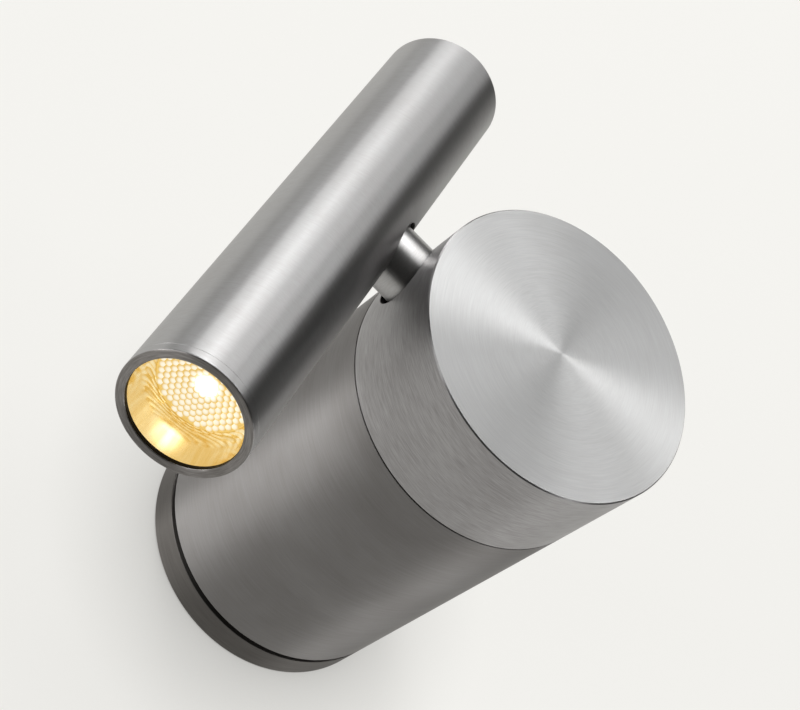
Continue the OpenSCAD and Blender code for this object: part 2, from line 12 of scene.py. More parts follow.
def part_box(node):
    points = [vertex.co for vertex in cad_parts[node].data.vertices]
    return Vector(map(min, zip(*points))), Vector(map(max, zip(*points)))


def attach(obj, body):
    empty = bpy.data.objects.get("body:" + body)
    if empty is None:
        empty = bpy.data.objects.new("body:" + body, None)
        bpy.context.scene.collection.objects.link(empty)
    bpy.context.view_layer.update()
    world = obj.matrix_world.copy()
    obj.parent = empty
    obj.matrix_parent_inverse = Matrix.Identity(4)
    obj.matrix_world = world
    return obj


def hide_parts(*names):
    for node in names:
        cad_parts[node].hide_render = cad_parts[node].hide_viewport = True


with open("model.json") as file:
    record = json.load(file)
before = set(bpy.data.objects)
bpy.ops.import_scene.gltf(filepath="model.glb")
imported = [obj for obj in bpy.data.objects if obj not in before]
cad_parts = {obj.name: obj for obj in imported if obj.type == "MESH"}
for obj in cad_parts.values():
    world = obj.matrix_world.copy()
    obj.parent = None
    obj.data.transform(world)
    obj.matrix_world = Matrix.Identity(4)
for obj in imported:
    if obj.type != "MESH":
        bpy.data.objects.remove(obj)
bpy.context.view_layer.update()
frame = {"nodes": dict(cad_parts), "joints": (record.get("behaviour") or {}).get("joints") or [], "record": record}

bl_info = {
    "name": "Tube wall light",
    "version": (1, 0, 0),
    "blender": (4, 5, 0),
    "location": "3D View > Sidebar > Tube light",
    "description": "Dresses the tube wall light: turned steel, golden optics, wall and light",
    "category": "Object",
}

MM = 0.001
# A rounded edge: its steps, and how far beyond it a ring of points keeps the flat side flat
ROUND_STEPS = 5
SUPPORT_SHARE = 1.35
SHARP_ANGLE = math.radians(34)
POLE_RADIUS = 1e-7
# Round the body's axis, in degrees from +X towards +Z
GRUB_ANGLES = (55, 125)
# A second layer of brushing: how much wider, how much longer and how strong its strokes are
COARSE_WIDTH, COARSE_BREAKS, COARSE_SHARE = 4.5, 0.6, 0.2
CLOUD_SIZE = 16.7 * MM
# Near black: painted shade for the hollow faces of holes, bores and gaps
PAINTED_SHADE_METAL = "#16130F"

# The camera's place, its axes and its focal length, solved from the outlines of the real light
CAMERA_PLACE = (-0.08027, -0.384431, -0.280002)
CAMERA_RIGHT = (0.702061, -0.549099, 0.453432)
CAMERA_UP = (-0.696674, -0.397719, 0.597047)
CAMERA_BACK = (-0.1475, -0.735058, -0.661766)
CAMERA_LENS = 96.951

# Soft boxes: name, azimuth and elevation of the place as seen from the light, distance and width
# in metres, and power in watts
AIM_POINT = (-0.02, -0.06, -0.01)
SOFT_BOXES = (
    ("key_box", -25, 30, 1.62, 0.65, 11.3),
    ("front_high_box", 0, 45, 1.62, 0.65, 3.4),
    ("front_low_box", 0, 15, 1.62, 0.65, 4.5),
    ("right_box", 25, 30, 1.62, 0.65, 5.7),
    ("left_high_box", -50, 45, 1.62, 0.65, 5.9),
    ("side_high_box", -75, 45, 1.62, 0.65, 1.5),
    ("side_low_box", -70, -38, 1.62, 1.1, 10.5),
    ("left_strip", -84, -22, 1.62, 0.2, 4.5),
    ("right_strip", 84, -22, 1.62, 0.7, 4.0),
)
WORLD_GREY = "#6E6E6C"
WORLD_STRENGTH = 0.2


def linear(hex_colour):
    """Turns an sRGB hex value into linear red, green, blue and full alpha."""
    parts = [int(hex_colour[i:i + 2], 16) / 255 for i in (1, 3, 5)]
    return tuple(c / 12.92 if c <= 0.04045 else ((c + 0.055) / 1.055) ** 2.4 for c in parts) + (1,)


def length(name, description, millimetres):
    """A size property in metres, given in millimetres."""
    return FloatProperty(name=name, description=description, default=millimetres * MM,
                         min=0, precision=5, unit="LENGTH", subtype="DISTANCE")


def colour(name, description, hex_colour):
    """A colour property, given as an sRGB hex value."""
    return FloatVectorProperty(name=name, description=description, size=4, min=0, max=1,
                               default=linear(hex_colour), subtype="COLOR")


def pivot(name):
    """The point that a joint turns about."""
    return Vector(next(j["pos_m"] for j in frame["joints"] if j["name"] == name))


def depth(node):
    """How far a body's node reaches from the wall: nearest and farthest."""
    low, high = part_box(node)
    return -high.y, -low.y


# Local z out of the wall along the body; towards the tube along the arm
BODY_AXIS = Matrix.Rotation(math.radians(90), 4, "X")
ARM_AXIS = (Matrix.Translation((0, pivot("spot_swivel").y, pivot("spot_swivel").z))
            @ Matrix.Rotation(math.radians(-90), 4, "Y"))


def spot_axis(swing):
    """Local z towards the tube's rear end, local x towards the head."""
    return Matrix.Translation(pivot("spot_swivel")) @ Matrix.Rotation(-swing, 4, "X")


def add(tree, kind, inputs=None, **settings):
    """Adds a node with its settings; each input is a value or the socket it is linked from."""
    node = tree.nodes.new(kind)
    for key, value in settings.items():
        setattr(node, key, value)
    for key, value in (inputs or {}).items():
        if isinstance(value, bpy.types.NodeSocket):
            tree.links.new(value, node.inputs[key])
        else:
            node.inputs[key].default_value = value
    return node


def rounded(corners):
    """A closed outline of (radius, height) whose corners (radius, height, rounding) are round."""
    outline = []
    for i, corner in enumerate(corners):
        here = Vector(corner[:2])
        rounding = corner[2] if len(corner) > 2 else 0
        if not rounding:
            outline.append(here)
            continue
        before = Vector(corners[i - 1][:2]) - here
        after = Vector(corners[(i + 1) % len(corners)][:2]) - here
        half = before.angle(after) / 2
        reach = min(rounding / math.tan(half), 0.45 * before.length, 0.45 * after.length)
        start = here + before.normalized() * reach
        end = here + after.normalized() * reach
        middle = (here + (before.normalized() + after.normalized()).normalized()
                  * (reach / math.cos(half)))
        radius = (start - middle).length
        outline.append(here + before.normalized() * reach * SUPPORT_SHARE)
        for step in range(ROUND_STEPS + 1):
            turned = (start - middle).slerp(end - middle, step / ROUND_STEPS)
            outline.append(middle + turned.normalized() * radius)
        outline.append(here + after.normalized() * reach * SUPPORT_SHARE)
    return outline


def new_piece(name, mesh_data, body, slot, material, *nodes):
    """Shades a finished mesh, gives it its finish and sets it on its body."""
    mesh_data.shade_smooth()
    mesh_data.set_sharp_from_angle(angle=SHARP_ANGLE)
    piece = bpy.data.objects.new(name, mesh_data)
    bpy.context.scene.collection.objects.link(piece)
    mesh_data.materials.clear()
    mesh_data.materials.append(material)
    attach(piece, body)
    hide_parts(*nodes)
    return piece


def lathe(name, corners, place, segments):
    """Turns a closed outline about the local z axis into a closed mesh."""
    shell = bmesh.new()
    rings = []
    for radius, height in rounded(corners):
        if radius < POLE_RADIUS:
            rings.append([shell.verts.new(place @ Vector((0, 0, height)))])
            continue
        angles = [2 * math.pi * k / segments for k in range(segments)]
        rings.append([shell.verts.new(place @ Vector((radius * math.cos(a), radius * math.sin(a),
                                                      height))) for a in angles])
    for low, high in zip(rings, rings[1:] + rings[:1]):
        if len(low) == 1 and len(high) == 1:
            continue
        for k in range(segments):
            n = (k + 1) % segments
            face = [low[k % len(low)], low[n % len(low)], high[n % len(high)], high[k % len(high)]]
            shell.faces.new(list(dict.fromkeys(face)))
    bmesh.ops.recalc_face_normals(shell, faces=shell.faces)
    mesh_data = bpy.data.meshes.new(name)
    shell.to_mesh(mesh_data)
    shell.free()
    return mesh_data


def applied(mesh_data, *modifiers):
    """The mesh with (kind, settings) modifiers applied; a Geometry Nodes one takes its inputs."""
    holder = bpy.data.objects.new(mesh_data.name, mesh_data)
    bpy.context.scene.collection.objects.link(holder)
    for kind, settings in modifiers:
        modifier = holder.modifiers.new(kind, kind)
        for key, value in settings.items():
            if key.startswith("input:"):
                sockets = modifier.node_group.interface.items_tree
                modifier[next(s.identifier for s in sockets if s.name == key[6:])] = value
            else:
                setattr(modifier, key, value)
    graph = bpy.context.evaluated_depsgraph_get()
    result = bpy.data.meshes.new_from_object(holder.evaluated_get(graph))
    result.name = mesh_data.name
    bpy.data.objects.remove(holder)
    return result


def bored(mesh_data, cutters):
    """The mesh with the cutters' solids taken away."""
    for number, cutter in enumerate(cutters):
        tool = bpy.data.objects.new(f"{mesh_data.name}_tool_{number}", cutter)
        bpy.context.scene.collection.objects.link(tool)
        mesh_data = applied(mesh_data, ("BOOLEAN", {"operation": "DIFFERENCE", "solver": "EXACT",
                                                    "object": tool}))
        bpy.data.objects.remove(tool)
    return mesh_data


def rod(radius, low, high, place, segments=96):
    """A plain round solid, used to bore a hole."""
    corners = [(0, low), (radius, low), (radius, high), (0, high)]
    return lathe("bore", corners, place, segments)


def new_material(name):
    """An empty node material with its shader and output."""
    material = bpy.data.materials.new(name)
    material.use_nodes = True
    tree = material.node_tree
    tree.nodes.clear()
    shader = add(tree, "ShaderNodeBsdfPrincipled")
    add(tree, "ShaderNodeOutputMaterial", {"Surface": shader.outputs[0]})
    return material, tree, shader


def turned_metal(name, place, light, dark, roughness, spread, grain, streak, anisotropy, relief,
                 cloud=0.25, inside=None, edges=()):
    """Metal turned or brushed round an axis: fine rings, and highlights that fan across them.

    light and dark are the linear colours of the crests and the grooves, grain the width of one
    ring in metres, streak how many times it breaks up round a radian, relief the depth of the
    grooves in metres and cloud the share of broad patches. Within a (radius, height) the metal is
    painted near black, as painted shade in hollows, holes and gaps, and it is smoother at edges,
    a list of (radius, height, width, roughness).
    """
    material, tree, shader = new_material(name)
    centre = place.to_translation()
    axis = place.to_3x3() @ Vector((0, 0, 1))
    here = add(tree, "ShaderNodeTexCoord").outputs["Object"]
    local = add(tree, "ShaderNodeMapping", {"Vector": here, "Location": centre,
                                            "Rotation": place.to_euler()}, vector_type="TEXTURE")
    split = add(tree, "ShaderNodeSeparateXYZ", {0: local.outputs[0]})
    flat = add(tree, "ShaderNodeCombineXYZ", {0: split.outputs[0], 1: split.outputs[1]})
    radius = add(tree, "ShaderNodeVectorMath", {0: flat.outputs[0]}, operation="LENGTH")
    around = add(tree, "ShaderNodeVectorMath", {0: flat.outputs[0]}, operation="NORMALIZE")
    travel = add(tree, "ShaderNodeMath", {0: radius.outputs["Value"], 1: split.outputs[2]},
                 operation="ADD")
    layers = []
    for width, breaks in ((grain, streak), (grain * COARSE_WIDTH, streak * COARSE_BREAKS)):
        ring = add(tree, "ShaderNodeMath", {0: travel.outputs[0], 1: 1 / width},
                   operation="MULTIPLY")
        lift = add(tree, "ShaderNodeCombineXYZ", {2: ring.outputs[0]})
        spot = add(tree, "ShaderNodeVectorMath", {0: around.outputs[0], 1: (breaks,) * 3,
                                                  2: lift.outputs[0]}, operation="MULTIPLY_ADD")
        layers.append(add(tree, "ShaderNodeTexNoise", {"Vector": spot.outputs[0], "Scale": 1,
                                                       "Detail": 2, "Roughness": 0.6}).outputs[0])
    grooves = add(tree, "ShaderNodeMix", {0: COARSE_SHARE, 2: layers[0], 3: layers[1]},
                  data_type="FLOAT")
    clouds = add(tree, "ShaderNodeTexNoise", {"Vector": here, "Scale": 1 / CLOUD_SIZE,
                                              "Detail": 2})
    tone = add(tree, "ShaderNodeMix", {0: cloud, 2: grooves.outputs[0], 3: clouds.outputs[0]},
               data_type="FLOAT")
    level = add(tree, "ShaderNodeMapRange", {0: tone.outputs[0], 1: 0.32, 2: 0.68})
    paint = add(tree, "ShaderNodeMix", {0: level.outputs[0], 6: dark, 7: light}, data_type="RGBA")
    rough = add(tree, "ShaderNodeMapRange", {0: tone.outputs[0], 1: 0.3, 2: 0.7,
                                             3: roughness + spread, 4: roughness - spread})
    for edge_radius, edge_height, width, smooth in edges:
        profile = add(tree, "ShaderNodeCombineXYZ", {0: radius.outputs["Value"],
                                                     1: split.outputs[2]})
        near = add(tree, "ShaderNodeVectorMath", {0: profile.outputs[0],
                                                  1: (edge_radius, edge_height, 0)},
                   operation="DISTANCE")
        rough = add(tree, "ShaderNodeMapRange", {0: near.outputs["Value"], 1: 0.8 * width,
                                                 2: width, 3: smooth, 4: rough.outputs[0]})
    bump = add(tree, "ShaderNodeBump", {"Height": grooves.outputs[0], "Strength": 1,
                                        "Distance": relief})
    arm = add(tree, "ShaderNodeVectorMath", {0: here, 1: centre}, operation="SUBTRACT")
    run = add(tree, "ShaderNodeVectorMath", {0: axis, 1: arm.outputs[0]},
              operation="CROSS_PRODUCT")
    unit = add(tree, "ShaderNodeVectorMath", {0: run.outputs[0]}, operation="NORMALIZE")
    tangent = add(tree, "ShaderNodeVectorTransform", {0: unit.outputs[0]}, vector_type="VECTOR",
                  convert_from="OBJECT", convert_to="WORLD")
    # Painted shade: within the given radius and height the colour turns near black, where shade falls in hollows
    # and holes
    if inside:
        within = add(tree, "ShaderNodeMath", {0: radius.outputs["Value"], 1: inside[0]},
                     operation="LESS_THAN")
        below = add(tree, "ShaderNodeMath", {0: split.outputs[2], 1: inside[1]},
                    operation="LESS_THAN")
        shade_mask = add(tree, "ShaderNodeMath", {0: within.outputs[0], 1: below.outputs[0]},
                  operation="MULTIPLY")
        paint = add(tree, "ShaderNodeMix", {0: shade_mask.outputs[0], 6: paint.outputs[2],
                                            7: linear(PAINTED_SHADE_METAL)}, data_type="RGBA")
    shader.inputs["Metallic"].default_value = 1
    shader.inputs["Anisotropic"].default_value = anisotropy
    shader.inputs["Anisotropic Rotation"].default_value = 0.25
    for socket, source in (("Base Color", paint.outputs[2]), ("Roughness", rough.outputs[0]),
                           ("Normal", bump.outputs[0]), ("Tangent", tangent.outputs[0])):
        tree.links.new(source, shader.inputs[socket])
    return material


def plain_finish(name, light, dark, roughness, grain, relief, **constants):
    """A moulded, cast or drawn finish: small mottling in colour, gloss and relief."""
    material, tree, shader = new_material(name)
    here = add(tree, "ShaderNodeTexCoord").outputs["Object"]
    fine = add(tree, "ShaderNodeTexNoise", {"Vector": here, "Scale": 1 / grain, "Detail": 3})
    broad = add(tree, "ShaderNodeTexNoise", {"Vector": here, "Scale": 0.12 / grain, "Detail": 1})
    tone = add(tree, "ShaderNodeMix", {0: 0.4, 2: fine.outputs[0], 3: broad.outputs[0]},
               data_type="FLOAT")
    level = add(tree, "ShaderNodeMapRange", {0: tone.outputs[0], 1: 0.3, 2: 0.7})
    paint = add(tree, "ShaderNodeMix", {0: level.outputs[0], 6: dark, 7: light}, data_type="RGBA")
    rough = add(tree, "ShaderNodeMapRange", {0: tone.outputs[0], 1: 0.3, 2: 0.7,
                                             3: roughness * 1.15, 4: roughness * 0.85})
    bump = add(tree, "ShaderNodeBump", {"Height": fine.outputs[0], "Strength": 1,
                                        "Distance": relief})
    for socket, value in constants.items():
        shader.inputs[socket.replace("_", " ")].default_value = value
    for socket, source in (("Base Color", paint.outputs[2]), ("Roughness", rough.outputs[0]),
                           ("Normal", bump.outputs[0])):
        tree.links.new(source, shader.inputs[socket])
    return material


def lens_glow(name, place, rim, middle, front):
    """Clear moulded lens lit from behind: pale warm domes, painted shade in deep gold on their outward sides."""
    lean, height = 0.55, 0.9
    white_radius, fade_radius = 0.6 * MM, 3.0 * MM
    plain_strength, white_strength = 1.0, 3.0
    centre = place @ Vector((0, 0, front))
    material, tree, shader = new_material(name)
    here = add(tree, "ShaderNodeTexCoord").outputs["Object"]
    local = add(tree, "ShaderNodeMapping", {"Vector": here, "Location": centre,
                                            "Rotation": place.to_euler()}, vector_type="TEXTURE")
    away = add(tree, "ShaderNodeVectorMath", {0: local.outputs[0]}, operation="LENGTH")
    outward = add(tree, "ShaderNodeVectorMath", {0: local.outputs[0]}, operation="NORMALIZE")
    dome = add(tree, "ShaderNodeAttribute", attribute_name="dome")
    # Painted shade: each dome turns deep gold on its side away from the lens's middle
    tilt = add(tree, "ShaderNodeVectorMath", {0: outward.outputs[0], 1: (-lean, -lean, 0),
                                              2: (0, 0, -height)}, operation="MULTIPLY_ADD")
    rise = add(tree, "ShaderNodeVectorMath", {0: dome.outputs["Vector"], 1: tilt.outputs[0]},
               operation="DOT_PRODUCT")
    pale = add(tree, "ShaderNodeMapRange", {0: rise.outputs["Value"], 1: 0.35, 2: 1.05},
               interpolation_type="SMOOTHSTEP")
    near = add(tree, "ShaderNodeMapRange", {0: away.outputs["Value"], 1: white_radius,
                                            2: fade_radius, 3: 1, 4: 0},
               interpolation_type="SMOOTHSTEP")
    lit = add(tree, "ShaderNodeMath", {0: pale.outputs[0], 1: near.outputs[0]},
              operation="MAXIMUM")
    blend = add(tree, "ShaderNodeMix", {0: lit.outputs[0], 6: rim, 7: middle}, data_type="RGBA")
    power = add(tree, "ShaderNodeMapRange", {0: near.outputs[0], 3: plain_strength,
                                             4: white_strength})
    hot = add(tree, "ShaderNodeMix", {0: near.outputs[0], 6: blend.outputs[2],
                                      7: (1, 1, 1, 1)}, data_type="RGBA")
    tree.links.new(hot.outputs[2], shader.inputs["Emission Color"])
    tree.links.new(power.outputs[0], shader.inputs["Emission Strength"])
    shader.inputs["Base Color"].default_value = linear("#3A3226")
    shader.inputs["Roughness"].default_value = 0.12
    return material


class TubeLightSizes(bpy.types.PropertyGroup):
    """Sizes of the shown shells that the frame's boxes don't give."""

    segments: IntProperty(name="Segments", description="Flat sides round each turned shell",
                          default=384, min=48, max=768)
    edge: length("Edge rounding", "Rounding of the turned shells' outer edges", 0.15)
    face_edge: length("Face edge rounding", "Rounding of the screws' and the ring's edges", 0.3)
    chamfer: length("Chamfer", "Width of the chamfer round the head's front face", 0.25)
    base_wall: length("Base wall", "Wall of the base ring's spigot", 2.5)
    base_rim: length("Base rim", "Depth of the base ring's visible rim", 7.5)
    spigot_gap: length("Spigot gap", "Gap between the spigot and the body shell", 0.1)
    seal_sink: length("Seal sink", "How far the seal lies back in the shadow gap", 0.7)
    grommet_bore: length("Grommet bore", "Radius of the cable grommet's hole", 4)
    grommet_flange: length("Grommet flange", "Width of the cable grommet's flange", 1.55)
    grommet_flange_depth: length("Grommet flange depth", "Thickness of that flange", 1.5)
    shell_wall: length("Shell wall", "Wall of the body shell", 2.5)
    lip: length("Front lip", "Width and depth of the body shell's front lip", 2)
    grub_radius: length("Grub screw radius", "Radius of the body's grub screws", 2)
    grub_sink: length("Grub screw sink", "Depth of the grub screws under the shell", 0.3)
    grub_depth: length("Grub screw place", "Distance from the wall to the grub screws' middle",
                       13.6667)
    head_wall: length("Head wall", "Wall of the head's side and of its front face", 3)
    arm_radius: length("Arm radius", "Outside radius of the arm", 6.5)
    arm_bore: length("Arm bore", "Radius of the arm's bore", 2.5)
    arm_journal: length("Arm journal", "Radius of the arm's thinner rear end", 4)
    hole_gap: length("Arm hole gap", "Gap all round the arm in the head and the tube", 1.1)
    tube_radius: length("Tube radius", "Outside radius of the spot tube and its ring", 12.497)
    tube_wall: length("Tube wall", "Wall of the spot tube", 0.9)
    tube_front: length("Tube front", "Length of the tube from the arm to its light end", 69.1)
    tube_rear: length("Tube rear", "Length of the tube from the arm to its rear end", 51.998)
    ring_depth: length("Ring depth", "How far the front ring stands out of the tube", 1.995)
    ring_width: length("Ring width", "Width of the front ring's face", 1.8)
    ring_lip: length("Ring lip", "Thickness of the front ring's face", 1)
    ring_spigot: length("Ring spigot", "Inside radius of the ring's spigot in the tube", 11.1)
    ring_spigot_wall: length("Ring spigot wall", "Wall of that spigot", 0.45)
    ring_spigot_depth: length("Ring spigot depth", "How far it reaches into the tube", 6.8)
    cap_gap: length("Cap gap", "Gap between the rear cap and the tube", 0.05)
    cap_sink: length("Cap sink", "How far the rear cap lies back in the tube", 0.3)
    cap_depth: length("Cap depth", "Thickness of the rear cap", 3)
    swing: FloatProperty(name="Swing", description="Angle that the light end stands out from"
                         " the wall", default=math.radians(10), unit="ROTATION", subtype="ANGLE")
    reflector_opening: length("Reflector opening", "Inside radius at its wide end", 10.7)
    reflector_throat: length("Reflector throat", "Inside radius at the lens", 9.095)
    reflector_outer: length("Reflector outside", "Outside radius of reflector and lens", 11)
    reflector_depth: length("Reflector depth", "Distance from its wide end to the lens", 7.8)
    reflector_bulge: length("Reflector bulge", "How far its wall curves outwards", 0.15)
    lens_depth: length("Lens depth", "Thickness of the lens", 1.5)
    lens_columns: IntProperty(name="Lens columns", description="Cells across the lens",
                              default=19, min=3, max=40)
    cell_pitch: length("Cell pitch", "Distance between the middles of two lens cells", 1.3)
    cell_height: length("Cell height", "How far the lens cells stand out", 0.3)


class TubeLightColours(bpy.types.PropertyGroup):
    """Colours of the finishes, as linear values of the sRGB ones."""

    steel: colour("Steel", "Crests of the turned steel", "#9C9A99")
    steel_dark: colour("Steel grooves", "Grooves of the turned steel", "#8F8C8A")
    head_steel: colour("Head steel", "Crests of the head's front and the tube", "#A4A4A4")
    head_steel_dark: colour("Head steel grooves", "Grooves of those", "#9C9C9B")
    side_steel: colour("Head side steel", "Crests of the head's side", "#A9A8A8")
    side_steel_dark: colour("Head side steel grooves", "Grooves of the head's side", "#8B8888")
    # Darker than the body's steel: on the base ring these colours are painted shade near the wall
    rim_steel: colour("Rim steel", "Crests of the base ring and the front ring", "#706D6A")
    rim_steel_dark: colour("Rim steel grooves", "Grooves of those two", "#5F5C59")
    bright_steel: colour("Polished steel", "Crests of the arm's steel", "#B6B6B6")
    bright_steel_dark: colour("Polished steel grooves", "Grooves of the arm's steel", "#A8A6A4")
    gold: colour("Reflector gold", "The reflector's metal coat", "#FAF6DC")
    gold_dark: colour("Reflector shade", "Darker streaks in the reflector's coat", "#E6C980")
    glow: colour("Lens glow", "Middle of a lit lens cell", "#FFF6DE")
    # The lens cells' gold edge colour is painted shade on the domes' outward sides
    glow_rim: colour("Lens cell edge", "Edge of a lit lens cell", "#E6C06C")
    wall: colour("Wall", "Pale wall that the light hangs on", "#F3F2EE")


def steel(context, name, place, **changes):
    """A turned steel finish for one piece, from the light's own colours."""
    colours = context.scene.tube_light_colours
    # The real strokes are about 0.05 mm wide, too fine to show, so they are drawn 0.18 mm wide
    look = {"light": colours.steel, "dark": colours.steel_dark, "roughness": 0.5, "spread": 0.03,
            "grain": 0.18 * MM, "streak": 4.0, "anisotropy": 0.85, "relief": 0.0012 * MM}
    look.update(changes)
    return turned_metal(name, place, **look)


def tree_with(name, *sockets):
    """A Geometry Nodes tree with a mesh going in and out and named inputs (name, kind)."""
    tree = bpy.data.node_groups.new(name, "GeometryNodeTree")
    tree.interface.new_socket("Mesh", in_out="INPUT", socket_type="NodeSocketGeometry")
    for socket, kind in sockets:
        tree.interface.new_socket(socket, in_out="INPUT", socket_type=kind)
    tree.interface.new_socket("Mesh", in_out="OUTPUT", socket_type="NodeSocketGeometry")
    return tree, add(tree, "NodeGroupInput").outputs


def screw_ring_tree():
    """Sets copies of one screw at a height and a radius round the z axis, by their angles."""
    tree, given = tree_with("screws_round_axis", ("Count", "NodeSocketInt"),
                            ("First angle", "NodeSocketFloat"), ("Step angle", "NodeSocketFloat"),
                            ("Height", "NodeSocketFloat"), ("Finish", "NodeSocketMaterial"))
    points = add(tree, "GeometryNodePoints", {"Count": given["Count"]})
    number = add(tree, "GeometryNodeInputIndex")
    angle = add(tree, "ShaderNodeMath", {0: number.outputs[0], 1: given["Step angle"],
                                         2: given["First angle"]}, operation="MULTIPLY_ADD")
    turn = add(tree, "ShaderNodeCombineXYZ", {2: angle.outputs[0]})
    lift = add(tree, "ShaderNodeCombineXYZ", {2: given["Height"]})
    set_up = add(tree, "GeometryNodeSetPosition", {"Geometry": points.outputs[0],
                                                   "Offset": lift.outputs[0]})
    copies = add(tree, "GeometryNodeInstanceOnPoints", {"Points": set_up.outputs[0],
                                                        "Instance": given["Mesh"],
                                                        "Rotation": turn.outputs[0]})
    real = add(tree, "GeometryNodeRealizeInstances", {"Geometry": copies.outputs[0]})
    done = add(tree, "GeometryNodeSetMaterial", {"Geometry": real.outputs[0],
                                                 "Material": given["Finish"]})
    add(tree, "NodeGroupOutput", {0: done.outputs[0]})
    return tree


def honeycomb_tree():
    """Covers a round lens with low domes in a honeycomb; points keep their place on a dome."""
    tree, given = tree_with("honeycomb_of_domes", ("Pitch", "NodeSocketFloat"),
                            ("Height", "NodeSocketFloat"), ("Radius", "NodeSocketFloat"),
                            ("Front", "NodeSocketFloat"), ("Columns", "NodeSocketInt"),
                            ("Finish", "NodeSocketMaterial"))
    row = add(tree, "ShaderNodeMath", {0: given["Pitch"], 1: math.cos(math.radians(30))},
              operation="MULTIPLY")
    spans = add(tree, "ShaderNodeMath", {0: given["Columns"], 1: 1.0}, operation="SUBTRACT")
    wide, tall = (add(tree, "ShaderNodeMath", {0: spans.outputs[0], 1: step}, operation="MULTIPLY")
                  for step in (given["Pitch"], row.outputs[0]))
    grid = add(tree, "GeometryNodeMeshGrid", {"Size X": wide.outputs[0], "Size Y": tall.outputs[0],
                                              "Vertices X": given["Columns"],
                                              "Vertices Y": given["Columns"]})
    number = add(tree, "GeometryNodeInputIndex")
    in_row = add(tree, "ShaderNodeMath", {0: number.outputs[0], 1: given["Columns"]},
                 operation="MODULO")
    odd = add(tree, "ShaderNodeMath", {0: in_row.outputs[0], 1: 2.0}, operation="MODULO")
    half = add(tree, "ShaderNodeMath", {0: given["Pitch"], 1: 0.5}, operation="MULTIPLY")
    shift = add(tree, "ShaderNodeMath", {0: odd.outputs[0], 1: half.outputs[0]},
                operation="MULTIPLY")
    offset = add(tree, "ShaderNodeCombineXYZ", {0: shift.outputs[0]})
    rows = add(tree, "GeometryNodeSetPosition", {"Geometry": grid.outputs[0],
                                                 "Offset": offset.outputs[0]})
    place = add(tree, "GeometryNodeInputPosition")
    away = add(tree, "ShaderNodeVectorMath", {0: place.outputs[0]}, operation="LENGTH")
    outside = add(tree, "ShaderNodeMath", {0: away.outputs["Value"], 1: given["Radius"]},
                  operation="GREATER_THAN")
    kept = add(tree, "GeometryNodeDeleteGeometry", {"Geometry": rows.outputs[0],
                                                    "Selection": outside.outputs[0]},
               domain="POINT")
    wider = add(tree, "ShaderNodeMath", {0: given["Pitch"], 1: 0.6}, operation="MULTIPLY")
    ball = add(tree, "GeometryNodeMeshUVSphere", {"Segments": 18, "Rings": 12, "Radius": 1.0})
    spot = add(tree, "GeometryNodeInputPosition")
    marked = add(tree, "GeometryNodeStoreNamedAttribute",
                 {"Geometry": ball.outputs["Mesh"], "Name": "dome", "Value": spot.outputs[0]},
                 data_type="FLOAT_VECTOR", domain="POINT")
    size = add(tree, "ShaderNodeCombineXYZ", {0: wider.outputs[0], 1: wider.outputs[0],
                                              2: given["Height"]})
    domes = add(tree, "GeometryNodeInstanceOnPoints", {"Points": kept.outputs[0],
                                                       "Instance": marked.outputs[0],
                                                       "Scale": size.outputs[0]})
    lift = add(tree, "ShaderNodeCombineXYZ", {2: given["Front"]})
    raised = add(tree, "GeometryNodeTransform", {"Geometry": domes.outputs[0],
                                                 "Translation": lift.outputs[0]})
    both = add(tree, "GeometryNodeJoinGeometry")
    for source in (given["Mesh"], raised.outputs[0]):
        tree.links.new(source, both.inputs[0])
    real = add(tree, "GeometryNodeRealizeInstances", {"Geometry": both.outputs[0]})
    done = add(tree, "GeometryNodeSetMaterial", {"Geometry": real.outputs[0],
                                                 "Material": given["Finish"]})
    add(tree, "NodeGroupOutput", {0: done.outputs[0]})
    return tree


class TUBELIGHT_OT_wall_base(bpy.types.Operator):
    """Turn the base ring, the shadow gap's seal and the cable grommet."""

    bl_idname = "tube_light.wall_base"
    bl_label = "Wall base"

    def execute(self, context):
        s = context.scene.tube_light_sizes
        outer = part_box("base_ring")[1].x
        front = depth("base_ring")[1]
        spigot = outer - s.shell_wall - s.spigot_gap
        bore = spigot - s.base_wall
        ring = lathe("base_ring_turned", [
            (bore, 0), (outer, 0, s.edge), (outer, s.base_rim, s.edge), (spigot, s.base_rim),
            (spigot, front, s.face_edge), (bore, front, s.edge)], BODY_AXIS, s.segments)
        colours = context.scene.tube_light_colours
        # Satin-turned and unpolished; made darker than the body as painted shade near the wall, so that
        # the light seems to end softly at the wall
        finish = steel(context, "Satin-turned stainless steel, base ring", BODY_AXIS,
                       light=colours.rim_steel, dark=colours.rim_steel_dark)
        new_piece("base_ring_turned", ring, "base", "satin_steel", finish, "base_ring")

        back, front = depth("gap_seal")
        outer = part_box("gap_seal")[1].x - s.seal_sink
        seal = lathe("gap_seal_moulded", [
            (spigot, back), (outer, back, s.edge), (outer, front, s.edge), (spigot, front)],
            BODY_AXIS, s.segments)
        # Moulded black rubber in the shadow gap: dull, dark and slightly mottled; so near black that it is also
        # painted shade, deep in the gap
        rubber = plain_finish("Moulded black EPDM rubber", linear("#121212"), linear("#0A0A0A"),
                              0.75, 0.4 * MM, 0.01 * MM)
        new_piece("gap_seal_moulded", seal, "base", "black_rubber", rubber, "gap_seal")

        front = depth("cable_grommet")[1]
        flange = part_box("cable_grommet")[1].x
        neck, under = flange - s.grommet_flange, front - s.grommet_flange_depth
        grommet = lathe("cable_grommet_moulded", [
            (s.grommet_bore, 0, 4 * s.edge), (neck, 0, s.edge), (neck, under),
            (flange, under, 2 * s.edge), (flange, front, 4 * s.edge),
            (s.grommet_bore, front, 4 * s.edge)], BODY_AXIS, s.segments // 2)
        new_piece("cable_grommet_moulded", grommet, "base", "black_rubber", rubber,
                  "cable_grommet")
        return {"FINISHED"}


